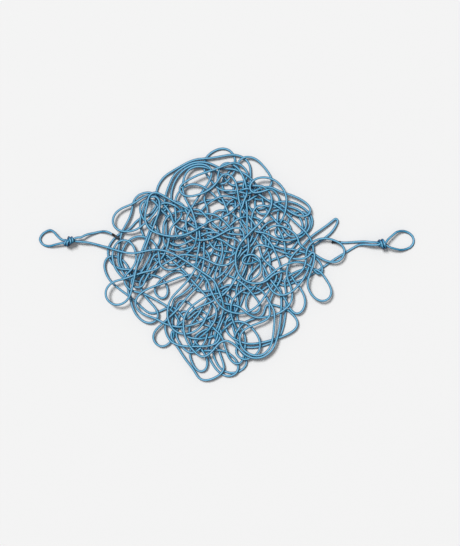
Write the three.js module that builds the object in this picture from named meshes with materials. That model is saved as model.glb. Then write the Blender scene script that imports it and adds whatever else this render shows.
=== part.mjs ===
// Dynamic climbing rope, flaked into a loose pile, with a knotted loop tied in each end.
// Millimetres, +Z up. The origin is on the ground under the middle of the whole rope.
import * as THREE from 'three';

// The rope itself
const ROPE_DIAMETER = 11;
const SHEATH_WALL = 1.2;
const INNER_STRANDS = 3;
const OUTER_STRANDS = 9;
const ROPE_SIDES = 10;
const STRAND_SIDES = 8;

// Its two ends
const SLEEVE_LENGTH = 40;
const SLEEVE_WALL = 0.6;
const MELTED_END = 2.5;
const MELTED_SHRINK = 0.2;

// Gaps: between faces that touch, and between strands that cross
const FACE_GAP = 0.3;
const CROSSING_GAP = 0.9;
const LAY_PASSES = 40;

// The pile: loops whose middles swing round the pile while they are laid on each other
const PILE_MIDDLE = [-46, 2];
const PILE_LOOPS = 24;
const LOOP_RADIUS = 190;
const LOOP_RADIUS_CHANGE = 50;
const LOOP_SWING = 310;
const LOOP_SWING_CHANGE = 35;
const SWINGS = 7;
const RADIUS_WAVES = 13;
const SWING_WAVES = 3;
const LOOP_STEPS = 24;
const LOOP_SIDES = 6;
const PILE_END_TURN = 0.168;
const PILE_TURN = THREE.MathUtils.degToRad(-64.5);

// The inner turns of the pile, a plain low mound that the outer loops lie over
const MOUND_RADIUS = 400;
const MOUND_HEIGHT = 36;
const MOUND_RINGS = 6;
const MOUND_SIDES = 48;

// The first turns of the pile that the mound stands for, in loop steps
const HIDDEN_STEPS = 8;

// How the free stretches come down from a knot to the ground, and lie over other strands:
// the second number is how much lower a hump is beside its peak
const DROP_LENGTH = 90;
const HUMP_DROP = 3;

// Knots: an overhand tied in the doubled rope, its middle line in rope diameters.
// u runs from the loop towards the pile, v across and w up.
const KNOT_REACH = 40;
const KNOT_GAP = 1.15;
const OVERHAND = [
  [6, 0, 0],
  [3.4, 0.2, 0],
  [0.8, 0.9, 0.4],
  [-1.4, 0.8, 0.9],
  [-2.4, 0, 2],
  [-1.9, -2.2, 1],
  [-1, -2, -1.6],
  [0, 0.4, -2.6],
  [0.8, 2.5, -0.8],
  [1.4, 2, 1.7],
  [2.3, 0, 2.3],
  [2.4, -1.5, 0.9],
  [1, -0.9, -0.4],
  [-1.2, -0.8, -0.7],
  [-3.4, -0.2, 0],
  [-6, 0, 0],
];

// Routes of the free stretches on the ground, from the knot outwards
const TOP_END = {
  name: 'top_end',
  knot: [-748, 100],
  towardsPile: 1,
  rolled: 0,
  lead: [
    [-708, 101],
    [-674, 99],
    [-626, 89],
    [-564, 73],
    [-502, 53],
    [-445, 43],
    [-392, 54],
    [-339, 64],
    [-287, 57],
    [-245, 40],
    [-191, 8],
    [-139, -26],
    [-80, -66],
  ],
  tail: [
    [-708, 121],
    [-675, 132],
    [-641, 141],
    [-604, 149],
    [-580, 150],
    [-560, 144],
    [-538, 131],
    [-517, 117],
  ],
  loop: [
    [-788, 94],
    [-811, 89],
    [-840, 81],
    [-864, 82],
    [-885, 94],
    [-893, 112],
    [-885, 132],
    [-868, 147],
    [-845, 156],
    [-824, 148],
    [-808, 128],
    [-788, 107],
  ],
};
const BOTTOM_END = {
  name: 'bottom_end',
  knot: [739, 87],
  towardsPile: -1,
  rolled: 2.4,
  lead: [
    [699, 84],
    [660, 88],
    [630, 86],
    [576, 56],
    [531, 29],
    [497, 6],
    [448, -28],
    [390, -66],
    [310, -112],
    [220, -146],
    [130, -156],
  ],
  tail: [
    [699, 98],
    [664, 101],
    [630, 101],
    [598, 99],
    [564, 97],
    [531, 99],
    [502, 100],
  ],
  loop: [
    [779, 71],
    [800, 66],
    [834, 62],
    [864, 70],
    [884, 84],
    [891, 106],
    [885, 127],
    [868, 143],
    [841, 152],
    [813, 149],
    [796, 141],
    [779, 122],
  ],
};

// Colours and finishes
const SHEATH = { color: new THREE.Color(0.26, 0.52, 0.66), roughness: 0.75 };
const CORE = { color: new THREE.Color(0.85, 0.86, 0.84), roughness: 0.6 };
const SLEEVE = { color: new THREE.Color(0.03, 0.03, 0.035), roughness: 0.5 };
const MELTED = { color: new THREE.Color(0.16, 0.33, 0.44), roughness: 0.35 };

// Worked out from the sizes above
const RADIUS = ROPE_DIAMETER / 2;
const BORE_RADIUS = RADIUS - SHEATH_WALL;
const LEAD_STEP = 2.8 * ROPE_DIAMETER;
const BIGHT_STEP = 2.24 * ROPE_DIAMETER;
const KNOT_STEP = 0.86 * ROPE_DIAMETER;
const SLEEVED = SLEEVE_WALL + FACE_GAP;
// how much nearer the middle a flat of the section is than its corners
const FLAT = Math.cos(Math.PI / ROPE_SIDES);

// How a knot is drawn tight: the number of passes, the share by which a strand straightens in
// each, and how far each strand of the doubled rope starts from its middle line
const KNOT_PASSES = 300;
const KNOT_SETTLING_PASSES = 100;
const KNOT_SPACING_PASSES = 5;
const KNOT_PULL = 0.2;
const KNOT_SPREAD = 0.56 * ROPE_DIAMETER;

// How far along the rope two runs are neighbours, which may touch: in a knot, in a stretch whose
// gaps are measured, and where one stretch goes on as the next
const KNOT_NEIGHBOURS = 1.7 * ROPE_DIAMETER;
const NEIGHBOURS = 2.5 * ROPE_DIAMETER;
const JOINED = 3 * ROPE_DIAMETER;

const UP = new THREE.Vector3(0, 0, 1);
const ALMOST_NOTHING = 1e-6;
// where along the rope the tails count from, far from every other stretch
const APART = 1e6;

// Closest approach of two straight runs, as the share of each run and the gap between their lines.
function closest(a, b, flat) {
  const height = flat ? 0 : 1;
  const d1 = [a[1].x - a[0].x, a[1].y - a[0].y, (a[1].z - a[0].z) * height];
  const d2 = [b[1].x - b[0].x, b[1].y - b[0].y, (b[1].z - b[0].z) * height];
  const r = [a[0].x - b[0].x, a[0].y - b[0].y, (a[0].z - b[0].z) * height];
  const dot = (p, q) => p[0] * q[0] + p[1] * q[1] + p[2] * q[2];
  const aa = dot(d1, d1);
  const bb = dot(d2, d2);
  const ab = dot(d1, d2);
  const ar = dot(d1, r);
  const br = dot(d2, r);
  const spread = aa * bb - ab * ab;
  const clamp = (x) => Math.min(1, Math.max(0, x));
  const parallel = spread <= ALMOST_NOTHING * aa * bb;
  let s = parallel ? 0.5 : clamp((ab * br - ar * bb) / spread);
  const t = clamp((ab * s + br) / bb);
  s = clamp((ab * t - ar) / aa);
  const away = r.map((x, i) => x + s * d1[i] - t * d2[i]);
  return { s, t, away, gap: Math.hypot(...away) };
}

// Straight runs between the points of a stretch, with how far along the rope each one starts.
function runsOf(points, from) {
  const runs = [];
  let at = from;
  for (let i = 1; i < points.length; i += 1) {
    const run = [points[i - 1], points[i]];
    run.at = at;
    at += run[0].distanceTo(run[1]);
    run.till = at;
    runs.push(run);
  }
  return runs;
}

// Where two runs cross as seen from above, and what is between their lines there.
function crossing(a, b) {
  const { s, t } = closest(a, b, true);
  const away = a[0].clone().lerp(a[1], s).sub(b[0].clone().lerp(b[1], t)).toArray();
  return { s, away, gap: Math.hypot(...away) };
}

// Height of the mound under a point.
function moundUnder(x, y) {
  const out = Math.hypot(x - PILE_MIDDLE[0], y - PILE_MIDDLE[1]) / MOUND_RADIUS;
  return Math.max(0, MOUND_HEIGHT * (1 - out * out));
}

// Raises points to rest on the ground or the mound.
function seat(points) {
  for (const p of points) {
    const under = moundUnder(p.x, p.y);
    p.z = Math.max(p.z, RADIUS + under + (under > 0 ? CROSSING_GAP : 0));
  }
}

// Raises points to the highest of them, so that the faces that meet there stand square.
function level(points) {
  const top = Math.max(...points.map((p) => p.z));
  for (const p of points) p.z = top;
}

// Raises the places beside each peak, so that a stretch goes over it in a long low hump.
function ease(points) {
  const heights = points.map((p) => p.z);
  points.slice(2, -2).forEach((p, i) => {
    const humps = heights.map((z, k) => z - HUMP_DROP * (k - i - 2) ** 2);
    p.z = Math.max(...humps);
  });
}

// Lays a stretch down on the ground, the mound and every stretch laid before it.
const laid = [];
function layDown(points, from, clearance = CROSSING_GAP) {
  seat(points);
  const reach = ROPE_DIAMETER + clearance;
  const runs = runsOf(points, from);
  runs.forEach((run, k) => {
    const own = runs.slice(0, Math.max(0, k - 2));
    const near = laid.filter((b) => Math.abs(b.till - run.at) > JOINED);
    const lower = near.concat(own);
    for (let again = 0; again < LAY_PASSES; again += 1) {
      let most = 0;
      let where = 0;
      for (const b of lower) {
        if (closest(run, b, true).gap >= reach) continue;
        for (const c of [crossing(run, b), closest(run, b, false)]) {
          const across = Math.hypot(c.away[0], c.away[1]);
          const short = Math.sqrt(Math.max(0, reach * reach - across * across)) - c.away[2];
          const lacking = c.gap < reach - ALMOST_NOTHING || c.away[2] < 0;
          if (lacking && short > most) {
            most = short;
            where = c.s;
          }
        }
      }
      if (most < ALMOST_NOTHING) break;
      const share = (1 - where) ** 2 + where ** 2;
      run[0].z += (most * (1 - where)) / share;
      run[1].z += (most * where) / share;
    }
  });
  laid.push(...runsOf(points, from));
  return points;
}

// Least gap between any two stretches of a line that aren't neighbours along the rope.
function leastGap(runs, radius) {
  let least = Infinity;
  runs.forEach((a, i) => {
    for (const b of runs.slice(i + 1)) {
      if (b.at - a.till < NEIGHBOURS) continue;
      least = Math.min(least, closest(a, b, false).gap - 2 * radius);
    }
  });
  return least;
}

// A line that keeps the points it was laid on.
class LaidLine extends THREE.Curve {
  constructor(points) {
    super();
    this.points = points;
  }

  getPoint(t, target = new THREE.Vector3()) {
    const far = Math.min(Math.max(t, 0), 1) * (this.points.length - 1);
    const i = Math.min(Math.floor(far), this.points.length - 2);
    return target.lerpVectors(this.points[i], this.points[i + 1], far - i);
  }

  getPointAt(t, target) {
    return this.getPoint(t, target);
  }

  // halfway between the directions of the two runs that meet at a point, whatever their lengths
  getTangentAt(t, target = new THREE.Vector3()) {
    const at = Math.round(t * (this.points.length - 1));
    const first = Math.max(at, 1);
    const last = Math.min(at + 1, this.points.length - 1);
    target.set(0, 0, 0);
    for (let i = first; i <= last; i += 1) {
      target.add(this.points[i].clone().sub(this.points[i - 1]).normalize());
    }
    return target.normalize();
  }
}

// A round section, drawn off the middle by (x, y).
function roundSection(radius, sides, x = 0, y = 0) {
  const corners = [];
  for (let i = 0; i < sides; i += 1) {
    const turn = (2 * Math.PI * (i + 0.5)) / sides;
    corners.push(new THREE.Vector2(x + radius * Math.cos(turn), y + radius * Math.sin(turn)));
  }
  return corners;
}

// A cord or pipe of the given section along points.
function along(points, section, bore) {
  const shape = new THREE.Shape(section);
  if (bore) shape.holes.push(new THREE.Path([...bore].reverse()));
  return new THREE.ExtrudeGeometry(shape, {
    steps: points.length - 1,
    extrudePath: new LaidLine(points),
    curveSegments: 1,
  });
}

// One unbroken tube through points, closed at both ends: the wound stretches of the rope.
function wind(points, radius, sides) {
  const places = [];
  const faces = [];
  const tangent = new THREE.Vector3();
  const side = new THREE.Vector3(1, 0, 0);
  const lift = new THREE.Vector3();
  const corner = new THREE.Vector3();
  points.forEach((p, i) => {
    const before = points[Math.max(0, i - 1)];
    const after = points[Math.min(points.length - 1, i + 1)];
    tangent.subVectors(after, before).normalize();
    if (i === 0) side.crossVectors(UP, tangent);
    side.addScaledVector(tangent, -side.dot(tangent)).normalize();
    lift.crossVectors(tangent, side);
    for (let k = 0; k < sides; k += 1) {
      const turn = (2 * Math.PI * (k + 0.5)) / sides;
      corner.copy(p).addScaledVector(side, radius * Math.cos(turn));
      corner.addScaledVector(lift, radius * Math.sin(turn));
      places.push(corner.x, corner.y, corner.z);
    }
  });
  for (let i = 0; i < points.length - 1; i += 1) {
    for (let k = 0; k < sides; k += 1) {
      const a = i * sides + k;
      const b = i * sides + ((k + 1) % sides);
      faces.push(a, b, b + sides, a, b + sides, a + sides);
    }
  }
  const last = (points.length - 1) * sides;
  for (let k = 1; k < sides - 1; k += 1) {
    faces.push(0, k + 1, k);
    faces.push(last, last + k, last + k + 1);
  }
  const tube = new THREE.BufferGeometry();
  tube.setAttribute('position', new THREE.Float32BufferAttribute(places, 3));
  tube.setIndex(faces);
  return tube;
}

// Points at an even step along a smooth line through the given ones.
function evenly(points, step) {
  const line = new THREE.CatmullRomCurve3(points, false, 'centripetal');
  return line.getSpacedPoints(Math.max(2, Math.round(line.getLength() / step)));
}

// Pulls the points of a strand towards the middle of their neighbours, which shortens it.
function shorten(strand) {
  const was = strand.map((p) => p.clone());
  for (let i = 2; i < strand.length - 2; i += 1) {
    const middle = was[i - 1].clone().lerp(was[i + 1], 0.5);
    strand[i].lerp(middle, KNOT_PULL);
  }
}

// Pushes two runs of a knot apart, if they are nearer than the given distance.
// The first and last two points of each strand stay where they are.
function pushApart(a, b, clear) {
  const c = closest(a.pair, b.pair, false);
  if (c.gap >= clear || c.gap < ALMOST_NOTHING) return;
  const push = new THREE.Vector3(...c.away).multiplyScalar((clear - c.gap) / c.gap / 2);
  const nudge = (run, k, share) => {
    const free = run.i + k > 1 && run.i + k < run.strand.length - 2;
    if (free) run.pair[k].addScaledVector(push, share);
  };
  nudge(a, 0, 1 - c.s);
  nudge(a, 1, c.s);
  nudge(b, 0, c.t - 1);
  nudge(b, 1, -c.t);
}

// A strand with its points at an even step, and its two ends where they were.
function respaced(strand) {
  return [strand[0], ...evenly(strand.slice(1, -1), KNOT_STEP), strand[strand.length - 1]];
}

// Draws a knot tight: the strands shorten and push each other aside until nothing moves.
function drawTight(strands) {
  const clear = ROPE_DIAMETER + KNOT_GAP;
  const neighbours = Math.ceil(KNOT_NEIGHBOURS / KNOT_STEP);
  for (let pass = 0; pass < KNOT_PASSES; pass += 1) {
    const drawing = pass <= KNOT_PASSES - KNOT_SETTLING_PASSES;
    if (drawing) strands.forEach(shorten);
    const runs = strands.flatMap((strand) =>
      strand.slice(1).map((p, i) => ({ strand, i, pair: [strand[i], p] })),
    );
    runs.forEach((a, n) => {
      for (const b of runs.slice(n + 1)) {
        if (a.strand === b.strand && b.i - a.i <= neighbours) continue;
        pushApart(a, b, clear);
      }
    });
    if (drawing && pass % KNOT_SPACING_PASSES === KNOT_SPACING_PASSES - 1) {
      strands.forEach((strand, own) => {
        strands[own] = respaced(strand);
      });
    }
  }
  return strands;
}

// The two strands of a knot in the object's frame, drawn tight between where they leave it.
function tieKnot(end) {
  const middle = OVERHAND.map((p) => new THREE.Vector3(...p).multiplyScalar(ROPE_DIAMETER));
  const line = new THREE.CatmullRomCurve3(middle, false, 'centripetal');
  const count = Math.round(line.getLength() / KNOT_STEP);
  const across = line.computeFrenetFrames(count, false).normals;
  const place = new THREE.Matrix4()
    .makeTranslation(end.knot[0], end.knot[1], 0)
    .multiply(new THREE.Matrix4().makeRotationZ(end.towardsPile > 0 ? 0 : Math.PI))
    .multiply(new THREE.Matrix4().makeRotationX(end.rolled));
  const doubled = [1, -1].map((side) => {
    const strand = line.getSpacedPoints(count);
    strand.forEach((p, i) => p.addScaledVector(across[i], side * KNOT_SPREAD).applyMatrix4(place));
    return strand;
  });
  // the strand nearer each exit takes it
  const exits = [end.lead, end.tail].map(([p]) => new THREE.Vector3(p[0], p[1], 0));
  const bights = [end.loop[0], end.loop[end.loop.length - 1]].map((p) => new THREE.Vector3(...p, 0));
  const swap = doubled[0][0].distanceTo(exits[0]) > doubled[0][0].distanceTo(exits[1]);
  if (swap) doubled.reverse();
  const inwards = new THREE.Vector3(-end.towardsPile * KNOT_STEP, 0, 0);
  const strands = doubled.map((strand, i) => {
    const reach = KNOT_REACH - KNOT_STEP;
    const inner = strand.filter((p) => Math.abs(p.x - end.knot[0]) < reach);
    const first = exits[i].clone().add(inwards);
    const last = bights[i].clone().sub(inwards);
    return respaced([exits[i], first, ...inner, last, bights[i]]);
  });
  return drawTight(strands);
}

const rope = new THREE.Group();
function addPiece(name, geometry, finish) {
  const material = new THREE.MeshStandardMaterial({ ...finish, metalness: 0 });
  const piece = new THREE.Mesh(geometry, material);
  piece.name = name;
  rope.add(piece);
}

// Knotted loop: one unbroken tube in through the knot, round the loop and back out.
function makeKnottedLoop(end) {
  const [first, second] = tieKnot(end);
  const lowest = Math.min(...[...first, ...second].map((p) => p.z));
  const height = RADIUS + FACE_GAP - lowest;
  for (const p of [...first, ...second]) p.z += height;
  const round = end.loop.map((p) => new THREE.Vector3(...p, 0));
  const inside = evenly(round, BIGHT_STEP).slice(1, -1);
  for (const p of inside) {
    const away = Math.abs(p.x - end.knot[0]) - KNOT_REACH;
    const share = THREE.MathUtils.smoothstep(away, 0, DROP_LENGTH);
    p.z = THREE.MathUtils.lerp(height, RADIUS, share);
  }
  const points = [...first, ...inside, ...[...second].reverse()];
  const gap = leastGap(runsOf(points, 0), RADIUS);
  console.log(`${end.name} knot: height ${(2 * height).toFixed(1)} mm, least gap ${gap.toFixed(2)} mm`);
  addPiece(`${end.name}_knotted_loop`, wind(points, RADIUS, STRAND_SIDES), SHEATH);
  return height;
}

// A free stretch that starts at a knot, at the knot's height, and comes down to the ground.
function comeDown(route, height, step, skin = 0) {
  const outwards = Math.sign(route[1][0] - route[0][0]);
  const start = new THREE.Vector3(route[0][0] + outwards * FACE_GAP, route[0][1], 0);
  const square = start.clone();
  square.x += outwards * ROPE_DIAMETER;
  const rest = route.slice(1).map((p) => new THREE.Vector3(...p, 0));
  const points = [start, ...evenly([square, ...rest], step)];
  for (const p of points) {
    const share = THREE.MathUtils.smoothstep(Math.abs(p.x - start.x), ROPE_DIAMETER, DROP_LENGTH);
    p.z = THREE.MathUtils.lerp(height, RADIUS + skin, share);
  }
  return points;
}

// Tail: the end of the rope, where the sheath holds its core strands.
function makeTail(end, points) {
  const bore = roundSection(BORE_RADIUS, ROPE_SIDES);
  const sheath = along(points, roundSection(RADIUS, ROPE_SIDES), bore);
  addPiece(`${end.name}_tail_sheath`, sheath, SHEATH);
  // strands of both rings are as thick as fits with a gap to each other and to the sheath
  const ringShare = 1 / Math.sin(Math.PI / OUTER_STRANDS);
  const cell = (BORE_RADIUS * FLAT - FACE_GAP / 2) / (ringShare + 1);
  const rings = [
    { count: INNER_STRANDS, radius: cell / Math.sin(Math.PI / INNER_STRANDS) },
    { count: OUTER_STRANDS, radius: cell * ringShare },
  ];
  let number = 0;
  for (const ring of rings) {
    for (let i = 0; i < ring.count; i += 1) {
      number += 1;
      const turn = (2 * Math.PI * i) / ring.count;
      const x = ring.radius * Math.cos(turn);
      const y = ring.radius * Math.sin(turn);
      const section = roundSection(cell - FACE_GAP / 2, STRAND_SIDES, x, y);
      addPiece(`${end.name}_core_strand_${number}`, along(points, section), CORE);
    }
  }
}

// Melted end, where the hot cut fused sheath and core, and the sleeve shrunk over it.
function makeRopeEnd(end, points) {
  const back = [...points].reverse();
  const heading = back[0].clone().sub(back[1]).normalize();
  const beyond = (far) => back[0].clone().addScaledVector(heading, far);
  const mouth = beyond(FACE_GAP + MELTED_END);
  const melted = along([beyond(FACE_GAP), mouth], roundSection(RADIUS - MELTED_SHRINK, ROPE_SIDES));
  addPiece(`${end.name}_melted_end`, melted, MELTED);

  const covered = [back[0], mouth];
  let run = 0;
  for (let i = 1; i < back.length && run < SLEEVE_LENGTH; i += 1) {
    const piece = back[i].distanceTo(back[i - 1]);
    const share = Math.min(1, (SLEEVE_LENGTH - run) / piece);
    covered.unshift(back[i - 1].clone().lerp(back[i], share));
    run += piece;
  }
  const inside = roundSection((RADIUS + FACE_GAP) / FLAT, ROPE_SIDES);
  const outside = roundSection((RADIUS + SLEEVED) / FLAT, ROPE_SIDES);
  addPiece(`${end.name}_sleeve`, along(covered, outside, inside), SLEEVE);
}

// The outer loops of the pile, from the bottom end to the top end.
function pileLoops() {
  const points = [];
  const steps = PILE_LOOPS * LOOP_STEPS;
  for (let i = HIDDEN_STEPS; i <= steps; i += 1) {
    const t = PILE_END_TURN + 2 * Math.PI * (i / steps - 1);
    const radius = LOOP_RADIUS + LOOP_RADIUS_CHANGE * Math.cos(RADIUS_WAVES * t);
    const swing = LOOP_SWING + LOOP_SWING_CHANGE * Math.cos(SWING_WAVES * t);
    const x = swing * Math.cos(SWINGS * t) + radius * Math.cos(PILE_LOOPS * t);
    const y = swing * Math.sin(SWINGS * t) + radius * Math.sin(PILE_LOOPS * t);
    points.push(new THREE.Vector3(x, y, 0));
  }
  const last = points[points.length - 1];
  const turn = PILE_TURN - Math.atan2(last.y, last.x);
  for (const p of points) {
    p.applyAxisAngle(UP, turn);
    p.x += PILE_MIDDLE[0];
    p.y += PILE_MIDDLE[1];
  }
  const before = new THREE.Vector3().subVectors(points[0], points[1]).setLength(ROPE_DIAMETER);
  const after = new THREE.Vector3().subVectors(points.at(-1), points.at(-2)).setLength(ROPE_DIAMETER);
  return [before.add(points[0]), ...points, after.add(points.at(-1))];
}

// The lead of an end, from its knot down to the pile loop that it meets: inner is the loop's
// point before that. Its last stretch is square to the loop's face.
function makeLead(end, height, meets, inner) {
  const towards = meets.clone().sub(inner).setZ(0).normalize();
  const face = meets.clone().addScaledVector(towards, FACE_GAP).setZ(0);
  const square = face.clone().addScaledVector(towards, ROPE_DIAMETER);
  const route = [...end.lead, [square.x, square.y]];
  return [...comeDown(route, height, LEAD_STEP), face];
}

// Inner turns of the pile: a plain low mound.
function pileMound() {
  const profile = [new THREE.Vector2(0, 0), new THREE.Vector2(MOUND_RADIUS, 0)];
  for (let i = MOUND_RINGS - 1; i >= 0; i -= 1) {
    const out = i / MOUND_RINGS;
    profile.push(new THREE.Vector2(MOUND_RADIUS * out, MOUND_HEIGHT * (1 - out * out)));
  }
  const mound = new THREE.LatheGeometry(profile, MOUND_SIDES);
  mound.rotateX(Math.PI / 2);
  mound.translate(PILE_MIDDLE[0], PILE_MIDDLE[1], 0);
  return mound;
}

// Put together from the bottom end to the top end, as the rope was flaked.
addPiece('pile_inner_turns', pileMound(), SHEATH);
const bottomHeight = makeKnottedLoop(BOTTOM_END);
const topHeight = makeKnottedLoop(TOP_END);
const loops = pileLoops();

const bottomLead = makeLead(BOTTOM_END, bottomHeight, loops[0], loops[1]);
const bottomJoint = [...bottomLead.slice(-2), ...loops.slice(0, 2)];
seat(bottomJoint);
level(bottomJoint);
layDown(bottomLead, 0);
level(bottomJoint);
const leadLength = runsOf(bottomLead, 0).pop().till;

const bottomTail = comeDown(BOTTOM_END.tail, bottomHeight, LEAD_STEP, SLEEVED);
layDown(bottomTail, -APART, CROSSING_GAP + SLEEVED);

layDown(loops, leadLength);
const pileLength = runsOf(loops, leadLength).pop().till;

const topLead = makeLead(TOP_END, topHeight, loops.at(-1), loops.at(-2)).reverse();
const topJoint = [...loops.slice(-2), ...topLead.slice(0, 2)];
level(topJoint);
layDown(topLead, pileLength);
ease(topLead);
level(topJoint);

const topTail = comeDown(TOP_END.tail, topHeight, LEAD_STEP, SLEEVED);
layDown(topTail, APART, CROSSING_GAP + SLEEVED);

const ropeSection = roundSection(RADIUS, ROPE_SIDES);
addPiece('bottom_end_lead', along(bottomLead, ropeSection), SHEATH);
addPiece('pile_loops', wind(loops, RADIUS, LOOP_SIDES), SHEATH);
addPiece('top_end_lead', along(topLead, ropeSection), SHEATH);
makeTail(BOTTOM_END, bottomTail);
makeRopeEnd(BOTTOM_END, bottomTail);
makeTail(TOP_END, topTail);
makeRopeEnd(TOP_END, topTail);

const pileGap = leastGap(runsOf(loops, 0), RADIUS);
const pileTop = Math.max(...loops.map((p) => p.z)) + RADIUS;
const loopMetres = (pileLength - leadLength) / 1000;
console.log(`pile: least gap of the loops to themselves ${pileGap.toFixed(2)} mm`);
console.log(`pile: top ${pileTop.toFixed(1)} mm, ${loopMetres.toFixed(2)} m of rope in the loops`);

export default rope;
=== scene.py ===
import math

import bmesh
import bpy
import numpy as np
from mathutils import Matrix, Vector, noise


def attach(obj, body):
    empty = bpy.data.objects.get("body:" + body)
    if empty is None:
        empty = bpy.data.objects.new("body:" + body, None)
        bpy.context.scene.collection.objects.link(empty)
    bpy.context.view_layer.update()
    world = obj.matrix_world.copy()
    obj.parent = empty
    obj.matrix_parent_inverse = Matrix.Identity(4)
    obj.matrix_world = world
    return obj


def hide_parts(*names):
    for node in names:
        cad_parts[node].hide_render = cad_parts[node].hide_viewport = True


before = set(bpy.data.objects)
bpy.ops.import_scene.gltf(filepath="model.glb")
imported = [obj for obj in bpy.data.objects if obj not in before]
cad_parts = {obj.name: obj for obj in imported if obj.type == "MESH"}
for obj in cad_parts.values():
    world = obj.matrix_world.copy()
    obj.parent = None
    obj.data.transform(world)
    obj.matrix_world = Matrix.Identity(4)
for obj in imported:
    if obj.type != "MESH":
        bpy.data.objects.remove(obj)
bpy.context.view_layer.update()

# The camera. The photograph looks straight down on the pile, so the camera hangs
# over it, and its picture takes in 2.2 by 2.6 m of floor, as the photograph does.
METRES_PER_PIXEL = 0.00478
PHOTO_TALL = 546
PICTURE_TALL = PHOTO_TALL * METRES_PER_PIXEL
EYE_OVER = (0.014, -0.048)
EYE_HEIGHT = 4.0
SENSOR = 36


def placed(name, data):
    """A new object in the scene, at the origin."""
    thing = bpy.data.objects.new(name, data)
    bpy.context.scene.collection.objects.link(thing)
    return thing


eye = placed("camera", bpy.data.cameras.new("camera"))
eye.data.sensor_width = SENSOR
eye.data.lens = SENSOR * EYE_HEIGHT / PICTURE_TALL
eye.location = (*EYE_OVER, EYE_HEIGHT)
bpy.context.scene.camera = eye


# The rope: 60 m of 11 mm kernmantle rope, a braided nylon sheath over twisted core
# strands. Both ends are tied into a small loop with an overhand knot, and the rest is
# flaked into a loose pile, from the bottom end up to the top end.
ROPE = 0.011
RADIUS = ROPE / 2
ROPE_LENGTH = 60.0
# the pile is laid out in points 10 mm apart, and the finished rope's line in 1 mm ones
STEP = 0.010
FINE_STEP = 0.001

# Where the turns lie that can be told apart from above, in millimetres on the floor
LOWEST_TURNS = [
    # top arc
    [(-85, 405), (-105, 435), (-115, 470), (-105, 500), (-75, 530), (-20, 550), (15, 540), (40, 505),
     (40, 470), (5, 430), (-20, 395)],
    # outer arc
    [(-330, 270), (-340, 315), (-330, 365), (-300, 410), (-260, 435), (-205, 465), (-150, 490),
     (-90, 495), (-30, 505), (20, 515), (75, 505), (110, 470), (115, 420), (115, 365)],
    # second arc
    [(-300, 275), (-290, 335), (-270, 385), (-255, 420), (-200, 460), (-150, 480), (-80, 475),
     (-35, 450), (20, 450), (80, 430), (120, 395), (150, 350)],
    # right arc
    [(10, 395), (45, 450), (55, 485), (80, 505), (110, 505), (140, 495), (180, 455), (215, 405),
     (220, 375), (200, 355), (160, 335)],
    # fan a
    [(165, 255), (220, 275), (275, 290), (325, 285), (365, 260), (395, 230), (405, 190), (390, 150),
     (340, 120)],
    # fan b
    [(180, 270), (235, 265), (275, 275), (315, 265), (350, 250), (375, 215), (380, 180), (365, 140)],
    # fan c
    [(190, 235), (245, 255), (295, 255), (335, 235), (360, 200), (365, 160), (345, 120)],
    # right drop
    [(230, -115), (260, -160), (285, -195), (295, -225), (320, -250), (345, -245), (365, -215),
     (370, -175), (360, -145), (340, -105)],
    # right tongue
    [(285, -210), (315, -240), (335, -270), (335, -300), (300, -330), (245, -355), (165, -380),
     (90, -390), (40, -375)],
    # right tongue 2
    [(40, -325), (25, -355), (60, -390), (125, -400), (190, -385), (245, -355), (270, -295),
     (280, -225)],
    # bottom lobe
    [(-5, -240), (-35, -305), (-55, -370), (-70, -425), (-55, -470), (-35, -505), (20, -530),
     (70, -515), (100, -480), (75, -430)],
    # bottom lobe 2
    [(-95, -445), (-55, -505), (-25, -530), (15, -540), (60, -505), (50, -460), (15, -425),
     (-35, -405), (-80, -410)],
    # low straight
    [(-270, -360), (-235, -405), (-195, -465), (-155, -515), (-130, -560), (-80, -560), (-35, -535)],
    # low lobe
    [(-165, -480), (-150, -510), (-125, -525), (-100, -515), (-90, -485), (-100, -440), (-135, -390)],
    # left long lobe
    [(-475, -130), (-460, -175), (-445, -230), (-415, -270), (-380, -290), (-345, -285), (-325, -260),
     (-335, -225), (-370, -185)],
    # left teardrop
    [(-265, -250), (-300, -290), (-335, -315), (-355, -355), (-340, -390), (-310, -405), (-280, -390),
     (-260, -360), (-255, -320), (-270, -270)],
    # left edge
    [(-505, 15), (-545, 35), (-580, 20), (-590, -10), (-585, -40), (-565, -80), (-530, -115),
     (-475, -155), (-430, -195), (-385, -240)],
    # left edge 2
    [(-475, 155), (-515, 140), (-550, 105), (-570, 65), (-565, 30), (-545, -5), (-505, -30),
     (-450, -30)],
]
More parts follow.
